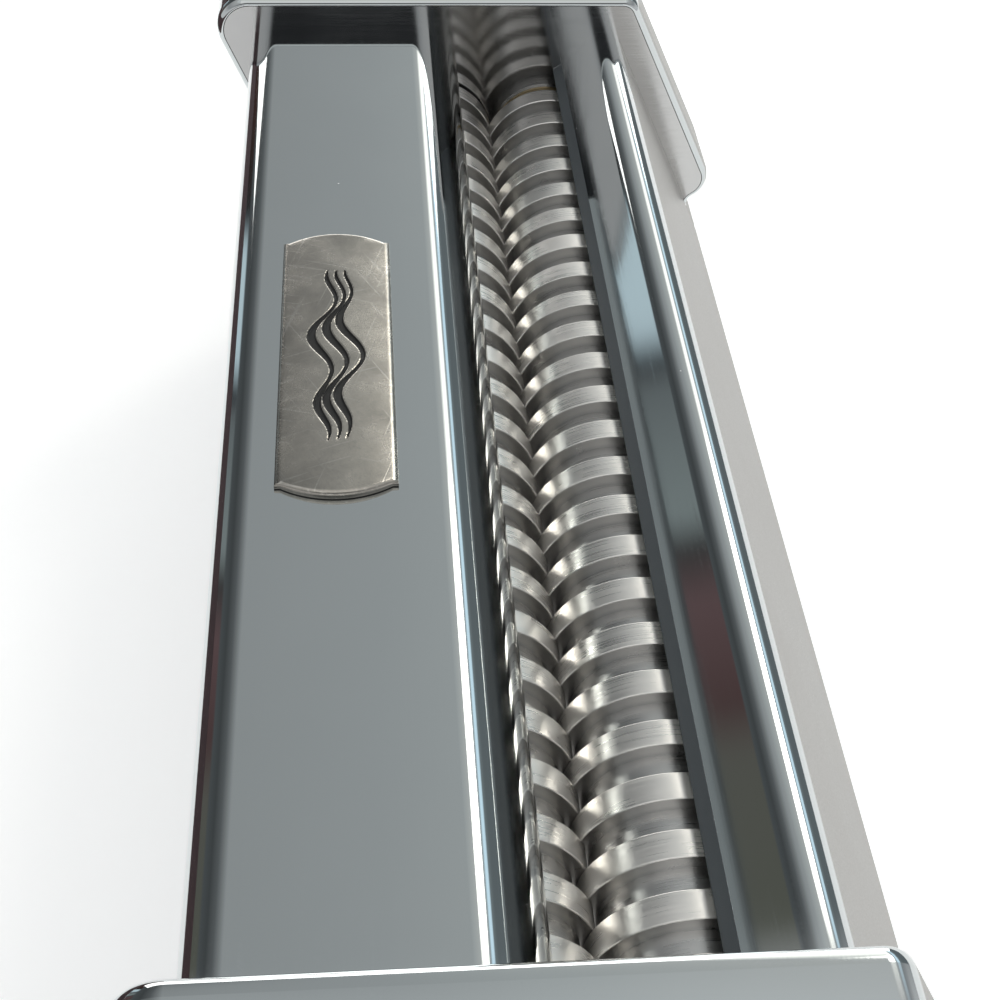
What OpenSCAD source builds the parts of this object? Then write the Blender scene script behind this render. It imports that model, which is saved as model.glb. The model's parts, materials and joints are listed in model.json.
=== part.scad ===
// Cutting head of a hand-cranked pasta machine: two meshing grooved rollers under a
// V-shaped hopper, in a bent sheet-steel housing between two pressed end caps.
// X runs along the rollers, +X towards the crank. -Y is the front, where the badge is,
// and +Y the back, where the head hangs on its machine. Z = 0 is the table.
// Shapes are drawn in a section frame whose zero is midway between the roller axes.

/* [Housing] */
// Clear length between the two side plates
inner_len = 154.4; // [152:0.2:160]
// Depth of each end cap, from the side plate's inner face to the cap's outer face
cap_depth = 16; // [15:0.5:20]
// Height of the roller axes above the table
axis_z = 36; // [35:0.5:42]
// Thickness of the bent covers
sheet_t = 1; // [0.8:0.1:1.2]
// Wall thickness of the pressed end caps
cap_wall = 1; // [0.8:0.1:1.2]
// Thickness of the side plates
plate_t = 2; // [1.5:0.1:2.5]

/* [Section] */
// Height of the flat top cover above the roller axes
cover_top = 18; // [17.5:0.1:18.5]
// Height of the end caps' top rim above the roller axes
rim_top = 22; // [21:0.5:24]
// Lean of the front panel and of the caps' front edge
front_lean = 22; // [20:0.5:24]
// Lean of the back panel
back_lean = 25; // [24:0.5:26]
// Lean of the guide lugs that slide into the machine
lug_lean = 26; // [25.5:0.5:27]
// Reach of the caps' front nose, forward of the rollers' mid-plane
nose_reach = 39.8; // [39:0.1:41]
// Reach of the guide lugs, behind the rollers' mid-plane
lug_reach = 35.8; // [35.6:0.1:36.4]
// Reach of the rear skirt, behind the rollers' mid-plane
skirt_reach = 35.2; // [35:0.1:35.4]

/* [Rollers] */
// Distance between the two roller axes
axis_gap = 17.6; // [17.6:0.05:17.8]
// Radius of the cutting rings
ring_r = 9.5; // [9.3:0.05:9.6]
// Radius of the groove floors
floor_r = 7.9; // [7.5:0.05:7.9]
// Distance from one ring to the next on the same roller
ring_pitch = 6.25; // [6.2:0.01:6.27]
// Width of one ring, a little less than the groove that it runs in
ring_w = 3.05; // [2.8:0.01:3.08]
// Rings on each roller
ring_count = 24; // [20:1:24]
// Shift of the cutting pattern from the middle of the housing
cut_shift = -1.65; // [-1.7:0.05:0]
// Radius of the journals
journal_r = 6; // [5.5:0.1:6.5]
// Radial clearance of a journal in its bush
running_gap = 0.05; // [0.02:0.01:0.08]

/* [Drive] */
// Radius of the crank socket
socket_r = 4; // [3.5:0.1:4.2]
// Depth of the round part of the crank socket
socket_depth = 10; // [8:0.5:10]
// Teeth on each gear
gear_teeth = 16; // [16:2:16]
// Tooth thickness taken off for backlash
backlash = 0.14; // [0.1:0.01:0.2]
// Face width of the gears
gear_w = 5; // [4:0.5:5]

/* [Badge] */
// Length of the badge over its curved ends
badge_len = 45.7; // [40:0.1:50]
// Width of the badge
badge_w = 12.6; // [11:0.1:14]
// Thickness of the badge
badge_t = 1; // [0.8:0.1:1.2]
// Distance of the badge's centre line in front of the rollers' mid-plane
badge_y = -22.3; // [-23:0.1:-21]

/* [Hidden] */
$fn = 64;
half = inner_len / 2;
mid_y = (nose_reach - lug_reach) / 2;
plate_out = half + plate_t;
cap_out = half + cap_depth;
cap_in = cap_out - cap_wall;
edge_gap = 0.1;

// Roller bodies and their bearings
thrust_t = 0.5;
thrust_gap = 0.05;
barrel_end = half - thrust_t - 2 * thrust_gap;
bush_r = 7;
flange_r = 8.3;
flange_t = 1.5;
flange_out = plate_out + flange_t;
clip_gap = 0.35;
clip_t = 0.9;
clip_groove_r = 5.3;
clip_r = 7.6;
clip_mouth = 60;
socket_end = cap_in - 1;
tongue_w = 3;
tongue_h = 7;
tongue_depth = 6;
driven_end = flange_out + 2.8;

// Gears
gear_m = axis_gap / gear_teeth;
gear_in = flange_out + clip_gap;
gear_seat_r = 5;
hub_r = 7.2;
hub_w = 4;
pin_r = 1;
hub_out = gear_in + gear_w + hub_w;
press_angle = 20;

// Tie rods and fixings, as [y, z] in the section frame
top_rod = [-27, 11];
back_rod = [24, -8];
comb_rod = [axis_gap / 2 + 5, -18];
rod_r = 2.5;
stud_r = 2;
pillar_r = 4;
stud_len = 5.5;
screw_len = 5;
head_r = 3.8;
head_h = 2;
nut_h = 3.2;

// Combs, in a frame whose zero is the roller's axis and whose u runs to the nip
finger_w = 2.4;
finger_clear_r = floor_r + 0.3;
comb_low = -22;
comb_high = -14;
comb_out = -9;
comb_in = -1;
rod_hole_r = rod_r + running_gap;

// Front cover: bends as centre points, with their radii
bend_r = 4;
hem_r = 3;
flange_z = 2 - axis_z;
wall_top = 40;
wall_low = 8;
wall_r = 8.5;
lip_edge = [-4.57, 9.72];
wall_c = lip_edge - wall_r * dir(wall_low);
wall_n = dir(wall_top);
roll_c = meet_z(wall_n, wall_n * wall_c + wall_r - bend_r, cover_top - bend_r);
front_c = [-31, cover_top - bend_r];
front_n = dir(180 + front_lean);
front_reach = front_n * front_c + bend_r;
front_hem = meet_z(front_n, front_reach - hem_r, flange_z + hem_r);
front_flange_y = -10;

// Rear cover: the back panel's plane, its rolled top edge and its skirt
back_n = dir(back_lean);
back_reach = 24;
bead_r = 3;
chute_lean = 42;
chute_n = dir(180 - chute_lean);
chute_foot = [10.9, 11.7];
chute_reach = chute_n * chute_foot;
chute_edge = [9.6, 10.75];
bead_c = meet(chute_n, chute_reach - bead_r, back_n, back_reach - bead_r);
skirt_c = [skirt_reach - hem_r, (back_reach - hem_r - back_n.x * (skirt_reach - hem_r)) / back_n.y];
rear_hem = [skirt_reach - hem_r, flange_z + hem_r];
rear_flange_y = 22;

// End cap outline: corners as centre points
nose_r = 5;
nose_c = [nose_r - nose_reach, rim_top - nose_r];
foot_r = 8;
toe_r = 5;
lug_r = 4;
notch_r = 2;
brow_r = 3;
cap_n = dir(180 + front_lean);
foot_c = meet_z(cap_n, cap_n * nose_c + nose_r - foot_r, foot_r - axis_z);
toe_c = [skirt_reach - toe_r, toe_r - axis_z];
lug_n = dir(lug_lean);
lug_c = [lug_reach - lug_r, -8.67];
brow_c = meet_z(lug_n, lug_n * lug_c + lug_r - brow_r, rim_top - brow_r);
notch_off = back_reach + notch_r - back_n * lug_c;
notch_run = sqrt(pow(lug_r + notch_r, 2) - pow(notch_off, 2));
notch_c = lug_c + notch_off * back_n + notch_run * [back_n.y, -back_n.x];
notch_a = atan2((lug_c - notch_c).y, (lug_c - notch_c).x);

// Sheet tabs, as [low y, low z, width, height] windows over a cover's profile
front_tabs = [[-27, cover_top - 1.5, 8, 3], [-33, -12, 8, 8]];
rear_tabs = [[18, 1, 12, 7]];

CHROME = "lightsteelblue";
STEEL = "silver";
DARK_STEEL = "dimgray";
NICKEL = "antiquewhite";
BRONZE = "peru";
NYLON = "ivory";

// Unit vector at an angle from +Y towards +Z
function dir(a) = [cos(a), sin(a)];

// Points along an arc
function arc(c, r, a0, a1, n = 12) = [for (i = [0:n]) c + r * dir(a0 + (a1 - a0) * i / n)];

// Where the line n . p = d crosses the height z
function meet_z(n, d, z) = [(d - n.y * z) / n.x, z];

// Where the lines n . p = d and m . p = e cross
function meet(n, d, m, e) = [d * m.y - e * n.y, n.x * e - m.x * d] / (n.x * m.y - m.x * n.y);

function reversed(list) = [for (i = [len(list) - 1:-1:0]) list[i]];

// One point at radius r and involute angle, for a base circle of radius base
function involute(base, r) = let(t = acos(base / r)) tan(t) * 180 / PI - t;

// The section frame stood on its place: 2D [y, z] shapes become prisms along X
module along_x(x0, x1) {
    translate([x0, mid_y, axis_z]) rotate([90, 0, 90]) linear_extrude(x1 - x0) children();
}

// A body turned about an axis parallel to X, drawn along +Z with its zero at x = 0
module turned(y, z = 0, x = 0) {
    translate([x, mid_y + y, axis_z + z]) rotate([0, 90, 0]) children();
}

// The same at the far end, drawn away from the middle
module turned_far(y, z = 0, x = 0) {
    translate([-x, mid_y + y, axis_z + z]) rotate([0, -90, 0]) children();
}

module ring(r_out, r_in, h) {
    difference() {
        cylinder(r = r_out, h = h);
        translate([0, 0, -1]) cylinder(r = r_in, h = h + 2);
    }
}

module hexagon(flats, h) { cylinder(r = flats / 2 / cos(30), h = h, $fn = 6); }

// ---- Outlines in the section frame ----

// Outline of an end cap, moved inwards by d
module cap_outline(d = 0) {
    polygon(concat(
        arc(nose_c, nose_r - d, 90, 180 + front_lean),
        arc(foot_c, foot_r - d, 180 + front_lean, 270),
        arc(toe_c, toe_r - d, 270, 360),
        arc(skirt_c, hem_r - d, 0, back_lean, 4),
        arc(notch_c, notch_r + d, 180 + back_lean, notch_a, 8),
        arc(lug_c, lug_r - d, notch_a - 180, lug_lean),
        arc(brow_c, brow_r - d, lug_lean, 90, 8)
    ));
}

// One face of the front cover's sheet, d under its outer skin
function front_skin(d) = concat(
    arc(wall_c, wall_r - d, wall_low, wall_top, 14),
    arc(roll_c, bend_r - d, wall_top, 90, 8),
    arc(front_c, bend_r - d, 90, 180 + front_lean, 14),
    arc(front_hem, hem_r - d, 180 + front_lean, 270, 8),
    [[front_flange_y, flange_z + d]]
);

module front_profile() { polygon(concat(front_skin(0), reversed(front_skin(sheet_t)))); }

// The hopper's chute ends in a flatter lip, so its skin starts with two straight runs
lip_run = chute_foot - chute_edge;
lip_n = [-lip_run.y, lip_run.x] / norm(lip_run);

function rear_skin(d) = concat(
    [chute_edge - d * lip_n,
     meet(lip_n, lip_n * chute_edge - d, chute_n, chute_reach - d)],
    arc(bead_c, bead_r - d, 180 - chute_lean, back_lean, 14),
    arc(skirt_c, hem_r - d, back_lean, 0, 4),
    arc(rear_hem, hem_r - d, 0, -90, 8),
    [[rear_flange_y, flange_z + d]]
);

module rear_profile() { polygon(concat(rear_skin(0), reversed(rear_skin(sheet_t)))); }

module windows(list) {
    intersection() {
        children();
        for (w = list) translate([w[0], w[1]]) square([w[2], w[3]]);
    }
}

// ---- Housing ----

module plate_shape() {
    difference() {
        cap_outline(cap_wall + edge_gap);
        for (s = [-1, 1]) translate([s * axis_gap / 2, 0]) circle(r = bush_r);
        for (p = [top_rod, back_rod, comb_rod, [-comb_rod.x, comb_rod.y]]) translate(p) circle(r = stud_r);
        windows(front_tabs) front_profile();
        windows(rear_tabs) rear_profile();
    }
}

module near_side_plate() { color(STEEL) along_x(half, plate_out) plate_shape(); }
module far_side_plate() { color(STEEL) along_x(-plate_out, -half) plate_shape(); }

// A pressed cup: a flat face with a wall that runs back round the side plate
module cap_shell(x_rim, x_face, x_out) {
    along_x(min(x_rim, x_face), max(x_rim, x_face))
        difference() {
            cap_outline();
            cap_outline(cap_wall);
        }
    along_x(min(x_face, x_out), max(x_face, x_out))
        difference() {
            cap_outline();
            for (p = [top_rod, back_rod]) translate(p) circle(r = stud_r);
            if (x_out > 0) translate([axis_gap / 2, 0]) circle(r = 2 * socket_r);
        }
}

module near_end_cap() { color(CHROME) cap_shell(half, cap_in, cap_out); }
module far_end_cap() { color(CHROME) cap_shell(-half, -cap_in, -cap_out); }

module front_cover() {
    color(CHROME)
        difference() {
            union() {
                along_x(-half, half) front_profile();
                along_x(-plate_out, plate_out) windows(front_tabs) front_profile();
            }
            for (s = [-1, 1]) badge_pin_place(s) translate([0, 0, -5]) cylinder(r = pin_r, h = 10);
        }
}

module rear_cover() {
    color(CHROME) {
        along_x(-half, half) rear_profile();
        along_x(-plate_out, plate_out) windows(rear_tabs) rear_profile();
    }
}

// ---- Badge ----

// A long plate with bowed ends that start a little inside its long edges
module badge_shape() {
    shoulder = 0.6;
    sagitta = 1.7;
    end_half = badge_w / 2 - shoulder;
    end_r = (pow(end_half, 2) + pow(sagitta, 2)) / (2 * sagitta);
    end_c = [badge_len / 2 - end_r, 0];
    sweep = asin(end_half / end_r);
    corner = [badge_len / 2 - sagitta, badge_w / 2];
    polygon(concat(
        [[corner.x, -corner.y]], arc(end_c, end_r, -sweep, sweep), [corner],
        [[-corner.x, corner.y]], arc(-end_c, end_r, 180 - sweep, 180 + sweep), [-corner]
    ));
}

module badge_plate() {
    color(NICKEL)
        translate([0, mid_y + badge_y, axis_z + cover_top]) linear_extrude(badge_t) badge_shape();
}

module badge_pin_place(side) {
    pin_x = badge_len / 3;
    translate([side * pin_x, mid_y + badge_y, axis_z + cover_top]) children();
}

// Pins under the badge, spread against the inside of the cover
module badge_rivets() {
    spread_h = 0.8;
    spread_r = 1.9;
    color(NICKEL)
        for (s = [-1, 1]) badge_pin_place(s) {
            translate([0, 0, -sheet_t - spread_h]) cylinder(r = pin_r, h = sheet_t + spread_h);
            translate([0, 0, -sheet_t - spread_h]) cylinder(r = spread_r, h = spread_h);
        }
}

// ---- Combs that strip the strands out of the grooves ----

module comb_finger() {
    difference() {
        polygon([[-7, comb_high - 0.5], [-1.5, comb_high - 0.5], [5.8, -7.6], [5.3, -6.2], [-1, -6], [-7, -9]]);
        circle(r = finger_clear_r);
    }
}

// side is +1 for the rear comb and -1 for the front one; first_x is its first ring's near face
module comb(side, first_x) {
    end_gap = 0.3;
    difference() {
        along_x(-half + end_gap, half - end_gap)
            translate([side * axis_gap / 2, 0]) mirror([side > 0 ? 1 : 0, 0])
                translate([comb_out, comb_low]) square([comb_in - comb_out, comb_high - comb_low]);
        turned(side * comb_rod.x, comb_rod.y, -half) cylinder(r = rod_hole_r, h = inner_len);
    }
    for (i = [0:ring_count - 2]) {
        x = first_x - i * ring_pitch - (ring_pitch + ring_w) / 2;
        along_x(x - finger_w / 2, x + finger_w / 2)
            translate([side * axis_gap / 2, 0]) mirror([side > 0 ? 1 : 0, 0]) comb_finger();
    }
}

module front_comb() { color(NYLON) comb(-1, driven_first_x); }
module rear_comb() { color(NYLON) comb(1, drive_first_x); }

// ---- Tie rods and fixings ----

module tie_rod(p, stud) {
    turned(p.x, p.y, -half) cylinder(r = rod_r, h = inner_len);
    turned(p.x, p.y, -half - stud) cylinder(r = stud_r, h = inner_len + 2 * stud);
}

module top_tie_rod() { color(STEEL) tie_rod(top_rod, plate_t + stud_len); }
module back_tie_rod() { color(STEEL) tie_rod(back_rod, plate_t + stud_len); }
module front_comb_rod() { color(STEEL) tie_rod([-comb_rod.x, comb_rod.y], plate_t + nut_h + 1); }
module rear_comb_rod() { color(STEEL) tie_rod(comb_rod, plate_t + nut_h + 1); }

// A hexagon pillar screwed on a tie rod's stud, drilled at its outer end for the cap's screw
module pillar() {
    difference() {
        hexagon(2 * pillar_r * cos(30), cap_in - plate_out);
        translate([0, 0, -1]) cylinder(r = stud_r, h = stud_len + 1);
        translate([0, 0, cap_in - plate_out - screw_len]) cylinder(r = stud_r, h = screw_len + 1);
    }
}

module near_pillars() {
    color(STEEL) for (p = [top_rod, back_rod]) turned(p.x, p.y, plate_out) pillar();
}

module far_pillars() {
    color(STEEL) for (p = [top_rod, back_rod]) turned_far(p.x, p.y, plate_out) pillar();
}

// Domed screw with a straight slot, its shank drawn from the bottom of the pillar's hole
module cap_screw() {
    slot_w = 1;
    slot_d = 0.9;
    dome_r = (pow(head_r, 2) + pow(head_h, 2)) / (2 * head_h);
    shank = screw_len + cap_wall;
    cylinder(r = stud_r, h = shank);
    difference() {
        intersection() {
            translate([0, 0, shank]) cylinder(r = head_r, h = head_h);
            translate([0, 0, shank + head_h - dome_r]) sphere(r = dome_r);
        }
        translate([-head_r, -slot_w / 2, shank + head_h - slot_d]) cube([2 * head_r, slot_w, slot_d + 1]);
    }
}

module near_cap_screws() {
    color(STEEL) for (p = [top_rod, back_rod]) turned(p.x, p.y, cap_in - screw_len) cap_screw();
}

module far_cap_screws() {
    color(STEEL) for (p = [top_rod, back_rod]) turned_far(p.x, p.y, cap_in - screw_len) cap_screw();
}

module nut() {
    difference() {
        hexagon(7, nut_h);
        translate([0, 0, -1]) cylinder(r = stud_r, h = nut_h + 2);
    }
}

module near_nuts() { color(STEEL) for (s = [-1, 1]) turned(s * comb_rod.x, comb_rod.y, plate_out) nut(); }
module far_nuts() { color(STEEL) for (s = [-1, 1]) turned_far(s * comb_rod.x, comb_rod.y, plate_out) nut(); }

// ---- Bearings ----

module bush() {
    bore = journal_r + running_gap;
    ring(bush_r, bore, plate_t);
    translate([0, 0, plate_t]) ring(flange_r, bore, flange_t);
}

module drive_bush_near() { color(BRONZE) turned(axis_gap / 2, 0, half) bush(); }
module drive_bush_far() { color(BRONZE) turned_far(axis_gap / 2, 0, half) bush(); }
module driven_bush_near() { color(BRONZE) turned(-axis_gap / 2, 0, half) bush(); }
module driven_bush_far() { color(BRONZE) turned_far(-axis_gap / 2, 0, half) bush(); }

module thrust_washer() {
    washer_r = floor_r - 0.3;
    ring(washer_r, journal_r + 2 * running_gap, thrust_t);
}

module near_thrust_washers() {
    color(BRONZE) for (s = [-1, 1]) turned(s * axis_gap / 2, 0, barrel_end + thrust_gap) thrust_washer();
}

module far_thrust_washers() {
    color(BRONZE) for (s = [-1, 1]) turned_far(s * axis_gap / 2, 0, barrel_end + thrust_gap) thrust_washer();
}

// ---- Rollers ----

drive_first_x = ring_count * ring_pitch / 2 + cut_shift;
driven_first_x = drive_first_x - ring_pitch / 2;

// A grooved barrel with a journal to each side, drawn along +Z with zero at mid-length
module roller(first_x, near_end) {
    cylinder(r = floor_r, h = 2 * barrel_end, center = true);
    for (i = [0:ring_count - 1])
        translate([0, 0, first_x - i * ring_pitch - ring_w]) cylinder(r = ring_r, h = ring_w);
    difference() {
        translate([0, 0, barrel_end]) cylinder(r = journal_r, h = near_end - barrel_end);
        translate([0, 0, flange_out + clip_gap - 0.05]) ring(journal_r + 1, clip_groove_r, clip_t + 0.1);
    }
    translate([0, 0, -flange_out - clip_gap + 0.1])
        cylinder(r = journal_r, h = flange_out + clip_gap - 0.1 - barrel_end);
    difference() {
        translate([0, 0, -hub_out - 0.25]) cylinder(r = gear_seat_r, h = hub_w + gear_w + 1);
        cross_pin_place() cylinder(r = pin_r, h = 4 * hub_r, center = true);
    }
}

// Centre of the pin that holds a gear, in the roller's own frame
module cross_pin_place() {
    translate([0, 0, hub_w / 2 - hub_out]) rotate([90, 0, 0]) children();
}

module drive_roller() {
    color(DARK_STEEL)
        turned(axis_gap / 2)
            difference() {
                roller(drive_first_x, socket_end);
                translate([0, 0, socket_end - socket_depth]) cylinder(r = socket_r, h = socket_depth + 1);
                translate([-tongue_w / 2, -tongue_h / 2, socket_end - socket_depth - tongue_depth])
                    cube([tongue_w, tongue_h, tongue_depth + 1]);
            }
}

module driven_roller() { color(DARK_STEEL) turned(-axis_gap / 2) roller(driven_first_x, driven_end); }

// Open spring ring that sits in a journal's groove
module circlip() {
    lip = 0.05;
    difference() {
        ring(clip_r, clip_groove_r + lip, clip_t);
        linear_extrude(3 * clip_t, center = true)
            polygon([[0, 0], 2 * clip_r * dir(-clip_mouth / 2), 2 * clip_r * dir(clip_mouth / 2)]);
    }
}

module drive_circlip() { color(STEEL) turned(axis_gap / 2, 0, flange_out + clip_gap) circlip(); }
module driven_circlip() { color(STEEL) turned(-axis_gap / 2, 0, flange_out + clip_gap) circlip(); }

// ---- Gears ----

// One flank of an involute tooth, from the root out, at a half thickness angle
function flank(base, root, tip, half_angle, n = 6) = concat(
    [root * dir(half_angle)],
    [for (i = [0:n]) let(r = base + (tip - base) * i / n) r * dir(half_angle - involute(base, r))]
);

module gear_shape(turn) {
    pitch_r = gear_m * gear_teeth / 2;
    base = pitch_r * cos(press_angle);
    root = pitch_r - 1.25 * gear_m;
    tip = pitch_r + gear_m;
    half_angle = 90 / gear_teeth - backlash / 2 / pitch_r * 180 / PI + involute(base, pitch_r);
    side = flank(base, root, tip, half_angle);
    mirrored = [for (p = reversed(side)) [p.x, -p.y]];
    difference() {
        rotate(turn)
            polygon([for (k = [0:gear_teeth - 1]) let(c = 360 * k / gear_teeth)
                for (p = reversed(concat(side, mirrored))) [p.x * cos(c) - p.y * sin(c), p.x * sin(c) + p.y * cos(c)]]);
        circle(r = gear_seat_r);
    }
}

// turn sets a tooth or a gap on the line between the two axes
module gear(y, turn) {
    along_x(-gear_in - gear_w, -gear_in) translate([y, 0]) gear_shape(turn);
    turned_far(y, 0, gear_in + gear_w)
        difference() {
            ring(hub_r, gear_seat_r, hub_w);
            translate([0, 0, hub_w / 2]) rotate([90, 0, 0]) cylinder(r = pin_r, h = 4 * hub_r, center = true);
        }
}

module gear_pin(y) {
    turned(y) cross_pin_place() cylinder(r = pin_r, h = 2 * hub_r - 0.4, center = true);
}

module drive_gear() { color(STEEL) gear(axis_gap / 2, 180); }
module driven_gear() { color(STEEL) gear(-axis_gap / 2, 180 / gear_teeth); }
module drive_gear_pin() { color(STEEL) gear_pin(axis_gap / 2); }
module driven_gear_pin() { color(STEEL) gear_pin(-axis_gap / 2); }

near_side_plate();
far_side_plate();
near_end_cap();
far_end_cap();
front_cover();
rear_cover();
badge_plate();
badge_rivets();
front_comb();
rear_comb();
top_tie_rod();
back_tie_rod();
front_comb_rod();
rear_comb_rod();
near_pillars();
far_pillars();
near_cap_screws();
far_cap_screws();
near_nuts();
far_nuts();
drive_bush_near();
drive_bush_far();
driven_bush_near();
driven_bush_far();
near_thrust_washers();
far_thrust_washers();
drive_roller();
drive_gear();
drive_gear_pin();
drive_circlip();
driven_roller();
driven_gear();
driven_gear_pin();
driven_circlip();
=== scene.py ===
"""Looks for the cutting head of a pasta machine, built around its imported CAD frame.

X runs along the rollers, +X towards the crank; -Y is the front, where the badge is; Z is up.
Outlines are drawn in millimetres in a section frame, as (y, z) points whose zero is midway
between the two roller axes. Pieces that replace CAD nodes repeat the part's own sizes.
"""

import json
import math

import bmesh
import bpy
import numpy as np
from mathutils import Matrix, Vector
from mathutils.geometry import delaunay_2d_cdt


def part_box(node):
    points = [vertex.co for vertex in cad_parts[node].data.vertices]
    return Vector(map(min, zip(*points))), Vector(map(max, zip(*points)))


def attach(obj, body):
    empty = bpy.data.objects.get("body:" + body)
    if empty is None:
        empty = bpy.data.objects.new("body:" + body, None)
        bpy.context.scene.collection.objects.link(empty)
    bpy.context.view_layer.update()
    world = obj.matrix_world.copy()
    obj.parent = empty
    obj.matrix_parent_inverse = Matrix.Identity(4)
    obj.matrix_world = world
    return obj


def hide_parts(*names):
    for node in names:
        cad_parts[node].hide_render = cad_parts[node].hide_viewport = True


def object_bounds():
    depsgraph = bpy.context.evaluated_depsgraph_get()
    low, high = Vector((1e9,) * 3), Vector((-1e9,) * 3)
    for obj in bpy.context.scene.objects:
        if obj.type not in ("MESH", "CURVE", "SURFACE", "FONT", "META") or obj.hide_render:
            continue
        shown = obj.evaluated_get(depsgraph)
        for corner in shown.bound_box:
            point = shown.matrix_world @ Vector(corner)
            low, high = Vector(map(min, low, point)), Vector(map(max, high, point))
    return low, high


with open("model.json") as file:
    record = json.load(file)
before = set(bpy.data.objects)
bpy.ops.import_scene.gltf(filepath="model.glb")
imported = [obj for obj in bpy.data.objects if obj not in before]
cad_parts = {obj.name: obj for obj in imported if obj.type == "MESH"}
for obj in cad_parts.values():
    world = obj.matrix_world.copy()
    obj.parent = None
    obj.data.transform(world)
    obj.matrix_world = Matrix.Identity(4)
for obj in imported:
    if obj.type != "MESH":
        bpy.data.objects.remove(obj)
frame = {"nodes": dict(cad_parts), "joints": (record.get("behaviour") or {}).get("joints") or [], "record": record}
cad_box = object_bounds()

MM = 0.001

# ---- Sizes read from the frame, in millimetres ----


def box_mm(node):
    """Lowest and highest corner of a CAD node, in millimetres."""
    low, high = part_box(node)
    return np.array(low) / MM, np.array(high) / MM


AXES = {joint["child"]: np.array(joint["pos_m"]) / MM for joint in frame["joints"]}
MID = (AXES["drive"] + AXES["driven"])[1:] / 2
AXIS_GAP = AXES["drive"][1] - AXES["driven"][1]
HALF = box_mm("near_side_plate")[0][0]
PLATE_OUT = box_mm("near_side_plate")[1][0]
CAP_OUT = box_mm("near_end_cap")[1][0]
RIM_TOP = box_mm("near_end_cap")[1][2] - MID[1]
NOSE_REACH = MID[0] - box_mm("near_end_cap")[0][1]
LUG_REACH = box_mm("near_end_cap")[1][1] - MID[0]
SKIRT_REACH = box_mm("rear_cover")[1][1] - MID[0]
COVER_TOP = box_mm("front_cover")[1][2] - MID[1]
BADGE_LOW, BADGE_HIGH = box_mm("badge_plate")
BADGE_HALF = (BADGE_HIGH - BADGE_LOW)[1] / 2
RING_R = (box_mm("drive_roller")[1][2] - box_mm("drive_roller")[0][2]) / 2
TABLE_Z = -MID[1]

# ---- Sizes that repeat the part's source, in millimetres and degrees ----

SHEET_T = 1.0
CAP_WALL = 1.0
FRONT_LEAN = 22
BACK_LEAN = 25
LUG_LEAN = 26
BACK_REACH = 24
TOP_ROD = np.array([-27.0, 11.0])
BACK_ROD = np.array([24.0, -8.0])
STUD_R = 2.0
CRANK_HOLE_R = 8.0
FLANGE_Z = TABLE_Z + 2
CHUTE_FOOT = np.array([10.9, 11.7])
CHUTE_EDGE = np.array([9.6, 10.75])
LIP_X = (0.05 - HALF, HALF - 0.05)
LIP_Y = (CHUTE_EDGE[0] + MID[0] - 0.5, CHUTE_FOOT[0] + MID[0])
LIP_Z = (CHUTE_EDGE[1] + MID[1] - 0.5, CHUTE_FOOT[1] + MID[1] + 0.1)

FLOOR_R = 7.9
RING_PITCH = 6.25
RING_W = 3.05
RING_COUNT = 24
CUT_SHIFT = -1.65
JOURNAL_R = 6.0
SEAT_R = 5.0
BARREL_END = HALF - 0.6
FLANGE_OUT = PLATE_OUT + 1.5
CLIP_GROOVE_R = 5.3
SOCKET_R = 4.0
SOCKET_DEPTH = 10.0
# Width, height and depth of the slot for the crank's tongue
TONGUE = (3.0, 7.0, 6.0)

# ---- Outline helpers ----


def direction(angle):
    """Unit vector at an angle in degrees from +Y towards +Z."""
    return np.array([math.cos(math.radians(angle)), math.sin(math.radians(angle))])


def arc(centre, radius, start, end, step=2.5):
    """Points on an arc between two angles, about step degrees apart."""
    count = max(2, math.ceil(abs(end - start) / step))
    return [centre + radius * direction(start + (end - start) * i / count) for i in range(count + 1)]


def crossing(n, d, m, e):
    """Where the lines n . p = d and m . p = e cross."""
    return np.linalg.solve(np.array([n, m]), np.array([d, e]))


def at_height(n, d, z):
    """Where the line n . p = d crosses the height z."""
    return np.array([(d - n[1] * z) / n[0], z])


def turned_up(n):
    """A direction turned a quarter turn."""
    return np.array([-n[1], n[0]])


def eased(points, corners, size):
    """A closed outline with the given corners, by index, rounded off by about size."""
    rounded = []
    for i, corner in enumerate(points):
        if i not in corners:
            rounded.append(corner)
            continue
        back = points[i - 1] - corner
        ahead = points[(i + 1) % len(points)] - corner
        start = corner + back / np.linalg.norm(back) * size
        end = corner + ahead / np.linalg.norm(ahead) * size
        for t in (0, 0.25, 0.5, 0.75, 1):
            rounded.append((1 - t) ** 2 * start + 2 * t * (1 - t) * corner + t * t * end)
    return rounded


def inset(points, depth):
    """A closed anticlockwise outline moved inwards by depth."""
    pts = np.array(points)
    runs = np.roll(pts, -1, axis=0) - pts
    runs /= np.linalg.norm(runs, axis=1)[:, None]
    after = np.column_stack([-runs[:, 1], runs[:, 0]])
    before = np.roll(after, 1, axis=0)
    share = 1 + (after * before).sum(axis=1)
    return list(pts + depth * (after + before) / share[:, None])


def circle(centre, radius, count=64):
    return [np.array(centre) + radius * direction(360 * i / count) for i in range(count)]


# ---- Mesh helpers ----


def space(x, point):
    """A point of the section frame at x, as a row frame vector in metres."""
    return Vector((x, point[0] + MID[0], point[1] + MID[1])) * MM


def add_ring(bm, points):
    return [bm.verts.new(p) for p in points]


def bridge(bm, first, second, closed=True):
    """Quads between two rings of vertices with the same count."""
    count = len(first)
    for i in range(count if closed else count - 1):
        j = (i + 1) % count
        bm.faces.new((first[i], first[j], second[j], second[i]))


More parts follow.
